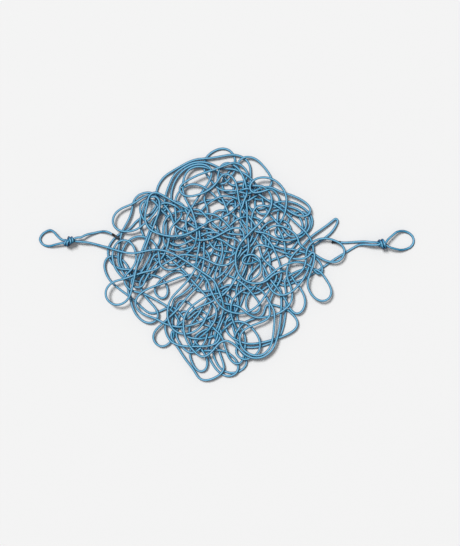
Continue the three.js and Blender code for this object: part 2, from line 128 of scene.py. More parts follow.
MIDDLE_TURNS = [
    # west lobe
    [(-305, 300), (-330, 325), (-360, 335), (-390, 320), (-425, 300), (-450, 280), (-490, 265),
     (-525, 245), (-545, 215), (-545, 180), (-525, 155), (-480, 145), (-430, 155), (-385, 190),
     (-350, 225), (-320, 275)],
    # west drop
    [(-330, 310), (-350, 335), (-385, 335), (-420, 325), (-445, 290), (-450, 245), (-470, 195),
     (-495, 155), (-505, 115), (-510, 60), (-510, 15), (-505, -30)],
    # inner oval
    [(-330, 285), (-350, 305), (-385, 300), (-410, 280), (-410, 245), (-390, 195), (-350, 160),
     (-305, 120)],
    # inner pair
    [(-370, 315), (-340, 325), (-320, 295), (-320, 265), (-340, 205), (-370, 130), (-390, 75),
     (-410, 20), (-430, -25), (-450, -90)],
    # arch a
    [(-345, 185), (-320, 235), (-290, 275), (-240, 295), (-205, 280), (-190, 235), (-165, 205),
     (-135, 165), (-130, 110), (-135, 60), (-145, -15)],
    # arch b
    [(-300, 95), (-305, 140), (-300, 200), (-275, 230), (-235, 250), (-195, 250), (-150, 255)],
    # west arch
    [(-530, -25), (-545, 15), (-545, 60), (-525, 100), (-490, 115), (-450, 95), (-435, 55), (-430, 15),
     (-450, -25), (-490, -60)],
    # west arch 2
    [(-515, 15), (-490, 85), (-455, 120), (-410, 130), (-360, 110), (-330, 70), (-320, 15),
     (-320, -10), (-290, -35), (-240, -30), (-205, -5)],
    # south west arch
    [(-175, -55), (-215, -65), (-295, -95), (-360, -115), (-415, -145), (-440, -180), (-430, -220),
     (-390, -245), (-335, -260), (-290, -285), (-230, -300), (-150, -290), (-90, -265)],
    # small loop
    [(-305, -70), (-330, -95), (-350, -135), (-330, -160), (-305, -175), (-280, -150), (-290, -95),
     (-310, -70), (-350, -55), (-410, -55)],
    # south edge
    [(-300, -300), (-290, -335), (-260, -375), (-210, -395), (-150, -400), (-95, -400), (-40, -375)],
    # south cross
    [(-90, -320), (-105, -380), (-155, -430), (-195, -420), (-225, -385), (-250, -340)],
    # south loops
    [(-50, -310), (-20, -345), (-10, -390), (0, -430), (20, -470), (55, -485), (75, -460), (80, -415)],
    # top right arch
    [(-50, 335), (-50, 390), (-40, 440), (-20, 475), (10, 480), (40, 465), (70, 430), (90, 375),
     (100, 335)],
    # narrow bight
    [(350, 60), (400, 120), (440, 150), (495, 190), (535, 225), (530, 195), (500, 145), (455, 110),
     (400, 75), (325, 30)],
    # right loop
    [(180, 155), (220, 180), (260, 180), (310, 150), (340, 120)],
    # right cross
    [(135, 150), (190, 140), (245, 110), (300, 105), (360, 125), (395, 160), (405, 200), (390, 235)],
    # south ring
    [(120, -310), (145, -340), (160, -385), (150, -430), (110, -455)],
]
UPPER_TURNS = [
    # tear loop
    [(30, 475), (-35, 450), (-75, 435), (-135, 415), (-200, 380), (-230, 355), (-225, 330),
     (-195, 310), (-155, 315), (-110, 330), (-65, 360), (-30, 405)],
    # dark oval
    [(-145, 465), (-190, 440), (-210, 385), (-210, 335), (-185, 270), (-150, 205), (-135, 160),
     (-135, 105)],
    # oval lid
    [(-250, 285), (-235, 335), (-205, 365), (-165, 380), (-115, 365), (-75, 335), (-40, 295)],
    # long drop
    [(-270, 310), (-260, 365), (-230, 420), (-175, 460), (-115, 465), (-75, 445), (-75, 395),
     (-120, 335), (-170, 265), (-200, 205), (-195, 155), (-165, 120), (-115, 110), (-65, 120),
     (-25, 140), (20, 165), (70, 170), (85, 140), (80, 100), (55, 65)],
    # west oval
    [(-225, 275), (-260, 295), (-305, 320), (-345, 340), (-370, 325), (-380, 270), (-390, 210),
     (-370, 160), (-330, 140), (-265, 125), (-195, 135), (-130, 170), (-75, 205), (-35, 215)],
    # east lobe
    [(115, 335), (165, 355), (200, 360), (245, 335), (300, 320), (365, 290), (400, 255), (395, 225),
     (355, 215), (310, 230), (270, 255)],
    # north east ring
    [(205, 360), (150, 340), (110, 335), (95, 355), (115, 395), (160, 410), (215, 400), (255, 370),
     (280, 320), (280, 285), (275, 250)],
    # east long
    [(115, 365), (160, 365), (200, 350), (220, 295), (205, 245), (165, 195), (110, 140), (65, 85),
     (40, 30), (40, 0), (50, -50), (80, -85), (135, -95), (180, -80), (215, -45)],
    # east diagonal
    [(140, 335), (200, 295), (255, 255), (300, 210), (350, 160), (395, 110), (415, 60), (415, 55),
     (400, -10), (375, -65), (335, -115), (280, -155), (220, -150), (180, -95)],
    # mid arch
    [(90, 0), (60, 0), (70, 30), (100, 45), (135, 40), (160, 5), (160, -10), (155, -55), (115, -80)],
    # south west lobe
    [(-330, -30), (-385, -40), (-450, -60), (-490, -75), (-545, -90), (-575, -125), (-575, -165),
     (-540, -200), (-490, -195), (-460, -160), (-445, -95), (-430, -30), (-410, 30), (-395, 65),
     (-370, 135)],
    # s curve
    [(-150, -20), (-180, -75), (-230, -130), (-270, -175), (-285, -235), (-275, -290), (-240, -330),
     (-190, -340), (-135, -320), (-95, -270), (-75, -215)],
    # south sweep
    [(-100, -160), (-155, -195), (-195, -235), (-210, -290), (-195, -365), (-165, -410), (-115, -450),
     (-80, -430), (-50, -395), (-20, -365), (20, -375), (60, -410), (100, -445), (165, -450),
     (220, -410), (250, -315), (260, -210), (260, -145)],
    # south loop
    [(205, -260), (165, -280), (110, -300), (65, -330), (60, -385), (100, -430), (160, -440),
     (200, -410), (215, -370), (225, -290), (230, -210)],
    # tear
    [(80, -110), (120, -155), (155, -200), (155, -235), (120, -250), (90, -225), (90, -175),
     (115, -135), (150, -105)],
    # south arc
    [(-65, -155), (-35, -205), (5, -230), (75, -240), (140, -210), (180, -160), (215, -115)],
    # south arc 2
    [(320, -155), (305, -195), (260, -235), (200, -255), (135, -260), (80, -225)],
    # east sweep
    [(165, -105), (220, -50), (280, -5), (355, 5), (415, -30), (445, -65), (460, -25), (435, 20)],
    # ring lobe
    [(455, -55), (480, -90), (500, -135), (490, -170), (450, -185), (405, -155), (380, -100),
     (395, -45), (415, 15), (415, 70), (390, 30)],
    # east ring
    [(365, -20), (370, 40), (370, 60), (395, 100), (455, 120), (515, 105), (555, 75), (550, 25),
     (515, 0), (460, 10), (400, 45)],
]

# Where the hidden turns underneath lie thick, in millimetres on the floor
THICK_PLACES = [
    (-25, 395), (40, 350), (110, 370), (165, 320), (-5, 300), (75, 275), (150, 235), (235, 265),
    (25, 195), (100, 165), (195, 155), (270, 185), (205, 80), (290, 100), (135, 60), (50, 100),
    (-10, 130), (165, 5), (90, -25), (5, 25), (-105, 275), (-165, 230), (-225, 165), (-270, 110),
    (-130, 130), (-80, 60), (-165, 25), (-320, 35), (-235, 5), (-80, -45), (-150, -90), (5, -105),
    (90, -140), (165, -100), (265, -70), (-225, -185), (-150, -235), (-5, -235), (-70, -320),
    (165, -215), (-60, 220), (-100, 150), (-30, -20), (60, 30), (120, -60), (40, -160), (-60, -150),
    (0, 250), (50, 230), (180, 100), (-435, -91), (-205, -325), (-200, -395), (24, 139),
    (253, 62), (-15, -150),
]
# How far the pile reaches from its middle, every 30 degrees round from the right
PILE_MIDDLE = (-46, 9)
PILE_REACH = (440, 450, 430, 480, 450, 460, 480, 415, 400, 480, 435, 420)

# Where the two ends run over the floor between the pile and their knots
BOTTOM_END_WAY = [
    (560, 46), (531, 29), (497, 6), (448, -28), (390, -66), (310, -112),
]
TOP_END_WAY = [
    (-80, -66), (-139, -26), (-191, 8), (-245, 40), (-287, 57), (-339, 64), (-392, 54),
    (-445, 43), (-502, 53), (-564, 73), (-600, 82),
]


def lengths(points):
    """How far along the line each of its points lies."""
    return np.concatenate([[0], np.cumsum(np.linalg.norm(np.diff(points, axis=0), axis=1))])


def points_at(at, along, points):
    """The line's points at other places along it than its own."""
    return np.column_stack([np.interp(at, along, side) for side in points.T])


def evenly(points, step):
    """Points a step apart along the given ones."""
    along = lengths(points)
    at = np.linspace(0, along[-1], max(2, round(along[-1] / step) + 1))
    return points_at(at, along, points)


def softened(points):
    """The line with each inner point drawn towards the middle of its neighbours."""
    points[1:-1] = (points[:-2] + 2 * points[1:-1] + points[2:]) / 4
    return points


def smoothly(points, step):
    """Points a step apart on one smooth line through the given ones."""
    points = np.array(points, float)
    ends = np.vstack([2 * points[0] - points[1], points, 2 * points[-1] - points[-2]])
    line = []
    for i in range(1, len(ends) - 2):
        a, b, c, d = ends[i - 1 : i + 3]
        ta = 0
        tb = ta + math.sqrt(math.dist(a, b))
        tc = tb + math.sqrt(math.dist(b, c))
        td = tc + math.sqrt(math.dist(c, d))
        count = max(4, int(math.dist(b, c) / (2 * FINE_STEP)))
        t = np.linspace(tb, tc, count, endpoint=False)[:, None]
        ab = ((tb - t) * a + (t - ta) * b) / (tb - ta)
        bc = ((tc - t) * b + (t - tb) * c) / (tc - tb)
        cd = ((td - t) * c + (t - tc) * d) / (td - tc)
        abc = ((tc - t) * ab + (t - ta) * bc) / (tc - ta)
        bcd = ((td - t) * bc + (t - tb) * cd) / (td - tb)
        line.append(((tc - t) * abc + (t - tb) * bcd) / (tc - tb))
    line.append(points[-1:])
    return evenly(np.vstack(line), step)


def heading(line, at_end):
    """Which way the rope points where it is taken up, or where it leaves off."""
    x, y = line[-1] - line[-2] if at_end else line[1] - line[0]
    return math.atan2(y, x)


def bring_round(start, way, end, way_in, bend):
    """The shortest way for the rope from one place and heading to another: a bend, a
    straight and a bend."""
    best = None
    for first in (1, -1):
        for last in (1, -1):
            a = start + first * bend * np.array([-math.sin(way), math.cos(way)])
            b = end + last * bend * np.array([-math.sin(way_in), math.cos(way_in)])
            x, y = b - a
            apart = math.hypot(x, y)
            straight = apart
            ahead = math.atan2(y, x)
            if first != last:
                if apart < 2 * bend:
                    continue
                straight = math.sqrt(apart**2 - 4 * bend**2)
                ahead += first * math.asin(2 * bend / apart)
            turned = first * (ahead - way) % (2 * math.pi)
            turning = last * (way_in - ahead) % (2 * math.pi)
            length = bend * (turned + turning) + straight
            if best is None or length < best[0]:
                best = (length, first, turned, straight, last, turning)
    length, first, turned, straight, last, turning = best
    at, points = np.array(start, float), []
    for hand, run in ((first, bend * turned), (0, straight), (last, bend * turning)):
        count = max(1, round(run / STEP))
        for _ in range(count):
            way += hand * run / count / bend / 2
            at = at + run / count * np.array([math.cos(way), math.sin(way)])
            way += hand * run / count / bend / 2
            points.append(at)
    return np.array(points)


def bowed(points, once, twice):
    """The same way on, but bowed to the side as slack rope is, once and twice."""
    t = np.linspace(0, math.pi, len(points))
    aside = len(points) * STEP * (once * np.sin(t) ** 2 + twice * np.sin(t) * np.sin(2 * t))
    along = np.gradient(points, axis=0)
    along /= np.linalg.norm(along, axis=1)[:, None]
    return points + aside[:, None] * along[:, ::-1] * (-1, 1)


# The tightest bend that slack rope takes by itself
TIGHTEST = 0.033


def kinks(points):
    """How much rope would be bent tighter than slack rope bends by itself."""
    along = np.diff(points, axis=0)
    turned = np.diff(np.unwrap(np.arctan2(along[:, 1], along[:, 0])))
    return STEP * (np.abs(turned) > STEP / TIGHTEST).sum()


def strays(points):
    """How much rope would lie outside the pile."""
    x, y = (points - np.array(PILE_MIDDLE) / 1000).T
    around = np.degrees(np.arctan2(y, x)) / 30 % 12
    reach = np.interp(around, range(13), [*PILE_REACH, PILE_REACH[0]]) / 1000
    return STEP * (np.hypot(x, y) > reach).sum()


# How the hidden turns are laid. The two tied ends take up ENDS_LENGTH, and the way from
# hidden rope to the next turn JOINING_LENGTH. The two FILLING values say how much a
# newly covered square of the floor is worth.
SEED = 5
ENDS_LENGTH = 4.3
JOINING_LENGTH = 0.5
FILLING = 1.6
JOIN_FILLING = 0.8
THICK_REACH = 0.05
HIDDEN_BENDS = (0.06, 0.12)
JOINING_BENDS = (0.04, 0.06)
BOW = 0.12
STRAY_COST = 6
KINK_COST = 8
# How high a turn lies: under all others, as the three lists say, or over all
UNDERMOST = 0
TOPMOST = 4
# The floor as 200 by 200 squares of 10 mm, with the pile in their middle
SQUARE = 0.01
SQUARES = 200
HALF_FLOOR = 1.0
# Hidden rope runs to one of so many least covered places, about so far off it, and
# through it about so many radians off the straight way there
CHOICES, OFF_PLACE, OFF_WAY = 8, 0.02, 1.2
# The first points lie in plain sight and don't slide. In the end all are softened.
OPEN_START = 25
SOFTEN = 6


def flake():
    """The rope's way over the floor, seen from above, and how high in the pile each
    point lies. The turns that can be told apart are taken up one after another, each
    time the one that is easiest to reach, and hidden turns run between them."""
    hand = np.random.default_rng(SEED)
    places = np.array(THICK_PLACES) / 1000
    covered = np.zeros(len(places))
    middles = (np.indices((SQUARES, SQUARES)).reshape(2, -1).T + 0.5) * SQUARE - HALF_FLOOR
    near = np.linalg.norm(middles[:, None] - places, axis=2).min(1) < THICK_REACH
    bare = near.reshape(SQUARES, SQUARES)
    line, layers = [], []

    def spots(points):
        """The floor's squares that the points are in."""
        square = np.floor((points + HALF_FLOOR) / SQUARE).astype(int)
        return tuple(square.clip(0, SQUARES - 1).T)

    def cover(points):
        bare[spots(points)] = False
        for point in points:
            covered[:] += np.linalg.norm(places - point, axis=1) < THICK_REACH

    def lay(points, layer):
        line.append(points)
        layers.append(np.full(len(points), layer))
        if layer == UNDERMOST:
            cover(points)

    def easiest(goals, bends, tries, filling):
        """The way on to the goal that takes little rope, stays in the pile, is nowhere
        straight for long and runs over bare floor."""
        ways = []
        for goal in goals:
            for _ in range(tries):
                bend = hand.uniform(*bends)
                points = bring_round(line[-1][-1], heading(line[-1], True), *goal[:2], bend)
                points = bowed(points, *hand.normal(0, BOW, 2))
                ways.append((points, goal))

        def cost(way):
            points, _ = way
            fresh = bare[spots(points)].sum()
            spread = STEP * (len(points) - filling * fresh)
            return spread + STRAY_COST * strays(points) + KINK_COST * kinks(points)

        return min(ways, key=cost)

    lay(smoothly(np.array(BOTTOM_END_WAY) / 1000, STEP), UNDERMOST)
    left = [
        (smoothly(np.array(turn) / 1000, STEP), layer)
        for turns, layer in ((LOWEST_TURNS, 1), (MIDDLE_TURNS, 2), (UPPER_TURNS, 3))
        for turn in turns
    ]
    for turn, _ in left:
        cover(turn)
    way_out = smoothly(np.array(TOP_END_WAY) / 1000, STEP)
    last = False
    while not last:
        last = not left
        laid = sum(map(len, line)) + sum(len(turn) for turn, _ in left) + len(way_out)
        hidden = ROPE_LENGTH - ENDS_LENGTH - laid * STEP - JOINING_LENGTH * (len(left) + 1)
        to_spend = hidden / (len(left) + 1) * (1 if len(line) > 1 else 3)
        while to_spend > 0:
            goals = []
            for place in places[np.argsort(covered)[:CHOICES]]:
                place = place + hand.normal(0, OFF_PLACE, 2)
                across, up = place - line[-1][-1]
                for turned in hand.normal(0, OFF_WAY, 3):
                    goals.append((place, math.atan2(up, across) + turned))
            points, _ = easiest(goals, HIDDEN_BENDS, 2, FILLING)
            lay(points, UNDERMOST)
            to_spend -= len(points) * STEP
        if last:
            left = [(way_out, TOPMOST)]
        goals = [
            (taken_up[0], heading(taken_up, False), taken_up, i)
            for i, (turn, _) in enumerate(left)
            for taken_up in (turn, turn[::-1])[: 1 if last else 2]
        ]
        points, (_, _, taken_up, i) = easiest(goals, JOINING_BENDS, 3, JOIN_FILLING)
        lay(points, UNDERMOST)
        lay(taken_up, left[i][1])
        del left[i]
    flat, layers = np.vstack(line), np.concatenate(layers)
    moved = np.concatenate([[1], np.linalg.norm(np.diff(flat, axis=0), axis=1)])
    flat, layers = flat[moved > 1e-4], layers[moved > 1e-4]
    # what lies open keeps its place, and the rest gives way more the further it is off
    hidden = (layers == UNDERMOST) & (np.arange(len(flat)) > OPEN_START)
    free = np.convolve(hidden, np.ones(9) / 9, "same") * hidden
    flat = slide_apart(flat, free)
    for _ in range(SOFTEN):
        flat = softened(flat)
    even, along = evenly(flat, STEP), lengths(flat)
    at = np.linspace(0, along[-1], len(even))
    return even, layers[np.searchsorted(along, at).clip(0, len(layers) - 1)]


# How far hidden turns slide in one go, how often, and over how many points a move spreads
SLIDE = 0.012
SLIDES = 50
SLACK = 15


def slide_apart(flat, free):
    """Lets the hidden turns slide sideways off each other and into the gaps, more so
    where the pile is thick."""
    low, cell, cells = -0.8, 0.005, 320
    middles = (np.indices((cells, cells)).reshape(2, -1).T + 0.5) * cell + low
    from_places = np.linalg.norm(middles[:, None] - np.array(THICK_PLACES) / 1000, axis=2)
    thin = np.clip(from_places.min(1) / THICK_REACH - 1, 0, 1).reshape(cells, cells)
    window = np.hanning(SLACK + 2)
    window /= window.sum()
    for _ in range(SLIDES):
        lies = np.zeros((cells, cells))
        np.add.at(lies, tuple(((flat - low) / cell).astype(int).T), 1)
        lies += thin
        for _ in range(4):
            for side in (0, 1):
                lies = (np.roll(lies, 1, side) + 2 * lies + np.roll(lies, -1, side)) / 4
        x, y = ((flat - low) / cell).astype(int).T
        move = -SLIDE * np.column_stack([slope[x, y] for slope in np.gradient(lies)])
        move *= free[:, None]
        move = np.column_stack([np.convolve(side, window, "same") for side in move.T])
        flat = flat + move * free[:, None]
    return flat


# Middles of strands that touch lie this far apart: the rope's thickness and a little air
CLEAR = 0.0114
# The steepest that the rope climbs over another strand, as rise to run
STEEPEST = 0.45


def gentle_over(height, slope):
    """The least heights over the given ones that nowhere climb or fall faster than slope."""
    rising = np.maximum.accumulate(height + slope) - slope
    sinking = np.maximum.accumulate((height - slope)[::-1])[::-1] + slope
    return np.maximum(rising, sinking)


def stack(flat, layers):
    """How high each point of the flat line lies at first: layer by layer, over all
    that was laid before it, and rising and sinking gently."""
    cell, margin = 0.0025, 0.03
    fine, chunk = 4, 24
    at = np.arange((len(flat) - 1) * fine + 1) / fine
    line = points_at(at, np.arange(len(flat)), flat)
    low = line.min(0) - margin
    top = np.full(np.ceil((line.max(0) + margin - low) / cell).astype(int) + 1, -1.0)
    reach = math.ceil(CLEAR / cell)
    around = np.arange(-reach, reach + 1)
    across, up = (side.ravel() for side in np.meshgrid(around, around, indexing="ij"))
    height = np.full(len(line), RADIUS)
    own = np.floor((line - low) / cell).astype(int)
    slope = np.arange(len(line)) * STEP / fine * STEEPEST
    starts = np.arange(0, len(line), chunk)
    waiting = []
    for start in sorted(starts, key=lambda i: (layers[i // fine], i)):
        end = min(start + chunk, len(line))
        cx = own[start:end, :1] + across
        cy = own[start:end, 1:] + up
        off_x = low[0] + (cx + 0.5) * cell - line[start:end, :1]
        off_y = low[1] + (cy + 0.5) * cell - line[start:end, 1:]
        off = off_x**2 + off_y**2
        under = top[cx, cy]
        lies = (under > 0) & (off < CLEAR**2)
        over = np.where(lies, under + np.sqrt(np.maximum(CLEAR**2 - off, 0)), 0)
        height[start:end] = np.maximum(height[start:end], over.max(1))
        run = slice(max(0, start - 2 * chunk), end)
        height[run] = gentle_over(height[run], slope[: end - run.start])
        waiting.append((start, end))
        if len(waiting) > 2:
            for i in range(*waiting.pop(0)):
                x, y = own[i]
                top[x, y] = max(top[x, y], height[i])
    return gentle_over(height, slope)[::fine]


def near_pairs(line):
    """Stretches of the rope that lie close to each other, but not along the rope."""
    reach, along_rope = 0.026, 3
    middle = (line[1:] + line[:-1]) / 2
    cells = np.floor(middle[:, :2] / reach).astype(np.int64)
    cells -= cells.min(0) - 1
    rows = cells[:, 1].max() + 3
    key = cells[:, 0] * rows + cells[:, 1]
    order = np.argsort(key, kind="stable")
    found = []
    for beside in (0, 1, rows - 1, rows, rows + 1):
        first = np.searchsorted(key[order], key + beside, "left")
        count = np.searchsorted(key[order], key + beside, "right") - first
        a = np.repeat(np.arange(len(middle)), count)
        nth = np.arange(len(a)) - np.repeat(np.cumsum(count) - count, count)
        b = order[np.repeat(first, count) + nth]
        found.append(np.column_stack([a, b])[(a < b) | (beside > 0)])
    a, b = np.vstack(found).T
    apart = np.abs(a - b) > along_rope
    close = ((middle[a] - middle[b]) ** 2).sum(1) < reach**2
    return a[apart & close], b[apart & close]


def between(line, a, b):
    """Where stretches a and b come closest, and the way from b's point to a's."""
    from_b = line[a] - line[b]
    along_a = line[a + 1] - line[a]
    along_b = line[b + 1] - line[b]
    aa, bb, ab = (along_a**2).sum(1), (along_b**2).sum(1), (along_a * along_b).sum(1)
    ar, br = (along_a * from_b).sum(1), (along_b * from_b).sum(1)
    skew = aa * bb - ab**2
    s = np.where(skew > 1e-6 * aa * bb, (ab * br - ar * bb) / np.maximum(skew, 1e-18), 0.5)
    t = np.clip((ab * np.clip(s, 0, 1) + br) / bb, 0, 1)
    s = np.clip((ab * t - ar) / aa, 0, 1)
    away = from_b + s[:, None] * along_a - t[:, None] * along_b
    return s, t, away, np.maximum(np.linalg.norm(away, axis=1), 1e-6)


# How the stack settles. First it sinks: each pass pulls every point down by WEIGHT, in
# the last fifth by less. Then strands that are pressed together part. Each pass makes
# its moves in part by ease, pushes touching strands apart so often, and shares pushes.
SINKING = {"passes": 300, "pushes": 3, "ease": 1, "share": 0.5}
PARTING = {"passes": 160, "pushes": 4, "ease": 0.3, "share": 0.35}
WEIGHT = 0.00005
# How strongly a point is drawn level with those so many places away on both sides, back
# to its bend on the floor, and back to its place on the floor
STIFF = ((1, 0.25), (3, 0.2), (6, 0.12))
BEND_KEPT = 0.2
PLACE_KEPT = 0.004
PAIRS_HOLD = 8


def settle(line, held):
    """Lets the stacked rope sink under its own weight until it rests on the floor and
    on itself. It keeps its length, its bends and, nearly, its place on the floor."""
    free = (~held).astype(float)[:, None]
    rest = np.linalg.norm(np.diff(line[:, :2], axis=0), axis=1)
    laid = line[:, :2].copy()
    bends = {r: laid[r:-r] - (laid[: -2 * r] + laid[2 * r :]) / 2 for r in (1, 3)}
    for turn in range(SINKING["passes"] + PARTING["passes"]):
        if turn % PAIRS_HOLD == 0:
            a, b = near_pairs(line)
        now = SINKING if turn < SINKING["passes"] else PARTING
        move = np.zeros_like(line)
        if now is SINKING:
            move[:, 2] = -WEIGHT if turn < 0.8 * SINKING["passes"] else -0.3 * WEIGHT
        for r, stiff in STIFF:
            level = (line[: -2 * r, 2] + line[2 * r :, 2]) / 2
            move[r:-r, 2] += stiff * (level - line[r:-r, 2])
        for r, bend in bends.items():
            middle = (line[: -2 * r, :2] + line[2 * r :, :2]) / 2
            move[r:-r, :2] += BEND_KEPT * (middle + bend - line[r:-r, :2])
        move[:, :2] += PLACE_KEPT * (laid - line[:, :2])
        line = line + move * free * now["ease"]
        for _ in range(2):
            for first in (0, 1):
                i = np.arange(first, len(line) - 1, 2)
                along = line[i + 1] - line[i]
                long = np.linalg.norm(along, axis=1)
                pull = ((long - rest[i]) / long / 2)[:, None] * along
                line[i] += pull * free[i] * (2 - free[i + 1])
                line[i + 1] -= pull * free[i + 1] * (2 - free[i])
        for _ in range(now["pushes"]):
            s, t, away, gap = between(line, a, b)
            touch = gap < CLEAR
            i, j, s, t, away, gap = (x[touch] for x in (a, b, s, t, away, gap))
            shared = np.maximum(free[i] + free[j], 1)
            push = away / gap[:, None] * (CLEAR - gap)[:, None] / shared
            of_a = (1 - s) ** 2 + s**2
            of_b = (1 - t) ** 2 + t**2
            point = np.concatenate([i, i + 1, j, j + 1])
            part = np.concatenate([(1 - s) / of_a, s / of_a, (t - 1) / of_b, -t / of_b])
            pushed = np.tile(push, (4, 1)) * part[:, None]
            count = np.bincount(point, minlength=len(line))
            total = np.column_stack(
                [np.bincount(point, side, minlength=len(line)) for side in pushed.T]
            )
            line += total / np.maximum(1, now["share"] * count)[:, None] * free
        line[:, 2] = np.where(held, line[:, 2], np.maximum(line[:, 2], RADIUS))
    return line


# Edges bent by more than this, in radians, go round the flat ends of a CAD stretch
SHARP_EDGE = 1.05
END_ACROSS = 2.6 * RADIUS


def line_of(node, near):
    """The line that a CAD stretch of the rope follows: the middles of its rings, from
    the end that is nearest to a point."""
    shape = bmesh.new()
    shape.from_mesh(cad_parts[node].data)
    bmesh.ops.remove_doubles(shape, verts=shape.verts, dist=1e-5)
    shape.verts.index_update()
    sharp = [edge for edge in shape.edges if edge.calc_face_angle(0) > SHARP_EDGE]
    corners = {v for edge in sharp for v in edge.verts}
    first = min(corners, key=lambda v: (v.co - Vector(near)).length)

    def flat_with(face):
        close = (v for v in corners if (v.co - first.co).length < END_ACROSS)
        return {v for v in close if abs((v.co - first.co).dot(face.normal)) < 1e-4}

    cap = max((flat_with(face) for face in first.link_faces), key=len)
    ring, grown = set(), {first}
    while grown:
        ring |= grown
        grown = ({e.other_vert(v) for v in grown for e in v.link_edges} & cap) - ring
    whole = len(ring)
    seen, line = set(ring), []
    while ring:
        if len(ring) == whole:
            in_order = sorted(ring, key=lambda v: v.index)
            line.append(sum((v.co for v in in_order), Vector()) / whole)
        ring = {e.other_vert(v) for v in ring for e in v.link_edges} - seen
        seen |= ring
    shape.free()
    return np.array(line)


# The knots, loops, tails and the free parts of the two ends lie where the CAD has them.
# A tip is the rope's very end, and a mouth is where its end leaves the knot for the pile.
BOTTOM_TIP, BOTTOM_MOUTH = (0.502, 0.1, 0.006), (0.699, 0.07, 0.026)
TOP_TIP, TOP_MOUTH = (-0.517, 0.117, 0.027), (-0.708, 0.09, 0.022)
BOTTOM_END_FREE, TOP_END_FREE = 0.57, -0.61
bottom_tail = line_of("bottom_end_tail_sheath", BOTTOM_TIP)
bottom_knot = line_of("bottom_end_knotted_loop", BOTTOM_MOUTH)[::-1]
bottom_lead = line_of("bottom_end_lead", BOTTOM_MOUTH)
bottom_lead = bottom_lead[bottom_lead[:, 0] > BOTTOM_END_FREE]
top_lead = line_of("top_end_lead", TOP_MOUTH)[::-1]
top_lead = top_lead[top_lead[:, 0] < TOP_END_FREE]
top_knot = line_of("top_end_knotted_loop", TOP_MOUTH)
top_tail = line_of("top_end_tail_sheath", TOP_TIP)[::-1]

flat, layers = flake()
before = np.vstack([evenly(bottom_tail, STEP), evenly(bottom_lead, STEP)])
after = np.vstack([evenly(top_lead, STEP), evenly(top_tail, STEP)])
pile = slice(len(before), len(before) + len(flat))
height = stack(
    np.vstack([before[:, :2], flat, after[:, :2]]),
    np.concatenate([np.zeros(len(before)), layers, np.full(len(after), TOPMOST)]),
)[pile]
line = np.vstack([before, np.column_stack([flat, height]), after])
held = np.ones(len(line), bool)
held[pile] = False
line = settle(line, held)
pile_line = softened(line[pile])

whole_line = np.vstack(
    [bottom_tail, bottom_knot, bottom_lead, pile_line, top_lead, top_knot, top_tail]
)
apart = np.linalg.norm(np.diff(whole_line, axis=0), axis=1)
whole_line = smoothly(whole_line[np.concatenate([[True], apart > 0.003])], FINE_STEP)

# The middles of the two knots. Within KNOT_HELD of one the strands keep their bends, and
# within KNOT_LEFT they are drawn smooth.
KNOT_CORES = [(0.741, 0.09, 0.027), (-0.753, 0.102, 0.027)]
KNOT_FADE = 0.012
KNOT_HELD, KNOT_LEFT = 1.9 * KNOT_FADE, 7 * KNOT_FADE
# The sharpest bends that stay, in the knots and outside, as one over their radius
KNOT_BEND, LOOSE_BEND = 90, 45
EASING_PASSES = 300
# A bend is measured over this many fine steps each way, and rounded off over ROUNDED
SPAN, ROUNDED = 6, 27
TAIL_FADE = 25


def eased(line):
    """The same line with its sharp bends rounded off, least in the cores of the knots,
    and with the strands that leave a knot drawn smooth."""
    from_knot = np.min([np.linalg.norm(line - core, axis=1) for core in KNOT_CORES], axis=0)
    loose = np.clip((from_knot - KNOT_HELD) / KNOT_FADE, 0, 1)
    # the core strands in the two tails are the CAD's, so the tails stay where they are
    from_start = np.arange(len(line))
    for tail, from_tip in ((bottom_tail, from_start), (top_tail, from_start[::-1])):
        loose *= np.clip((from_tip - len(evenly(tail, FINE_STEP))) / TAIL_FADE, 0, 1)
    beside = loose * np.clip((KNOT_LEFT - from_knot) / KNOT_FADE, 0, 1)
    most = KNOT_BEND - (KNOT_BEND - LOOSE_BEND) * loose[SPAN:-SPAN]
    for _ in range(EASING_PASSES):
        here = line[SPAN:-SPAN]
        back, on = here - line[: -2 * SPAN], line[2 * SPAN :] - here
        bend = np.linalg.norm(np.cross(back, on), axis=1) / (SPAN * FINE_STEP) ** 3
        tight = np.pad(np.clip(bend / most - 1, 0, 1), SPAN)
        tight = np.convolve(tight, np.hanning(ROUNDED) / (ROUNDED // 2), "same").clip(0, 1)
        share = np.maximum(tight, beside)[1:-1, None]
        line[1:-1] += share * ((line[:-2] + line[2:]) / 2 - line[1:-1])
    return line


whole_line = eased(whole_line)
whole_line[:, 2] = np.maximum(whole_line[:, 2], RADIUS)
whole_line = evenly(whole_line, FINE_STEP)

# The tube over that line: its rings stand so far apart that the rope turns by at most
# TURN_PER_RING, in radians, from each to the next
SIDES = 12
TURN_PER_RING = 0.28
SHORTEST_GAP, LONGEST_GAP = 0.003, 0.0085


def rings_along(line):
    """Where the tube's rings stand: close together in a tight bend, far apart where
    the rope runs straight."""
    span = 4
    back = line[span:-span] - line[: -2 * span]
    on = line[2 * span :] - line[span:-span]
    turned = np.linalg.norm(np.cross(back, on), axis=1) / (
        np.linalg.norm(back, axis=1) * np.linalg.norm(on, axis=1)
    )
    bend = np.pad(turned, span) / (span * FINE_STEP)
    gap = np.clip(TURN_PER_RING / np.maximum(bend, 1e-6), SHORTEST_GAP, LONGEST_GAP)
    gap = np.minimum.reduce([np.roll(gap, k) for k in range(-6, 7)])
    steps = np.concatenate([[0], np.cumsum(FINE_STEP / gap[:-1])])
    at = np.linspace(0, steps[-1], round(steps[-1]) + 1)
    index = np.interp(at, steps, np.arange(len(line)))
    return points_at(index, np.arange(len(line)), line), index * FINE_STEP


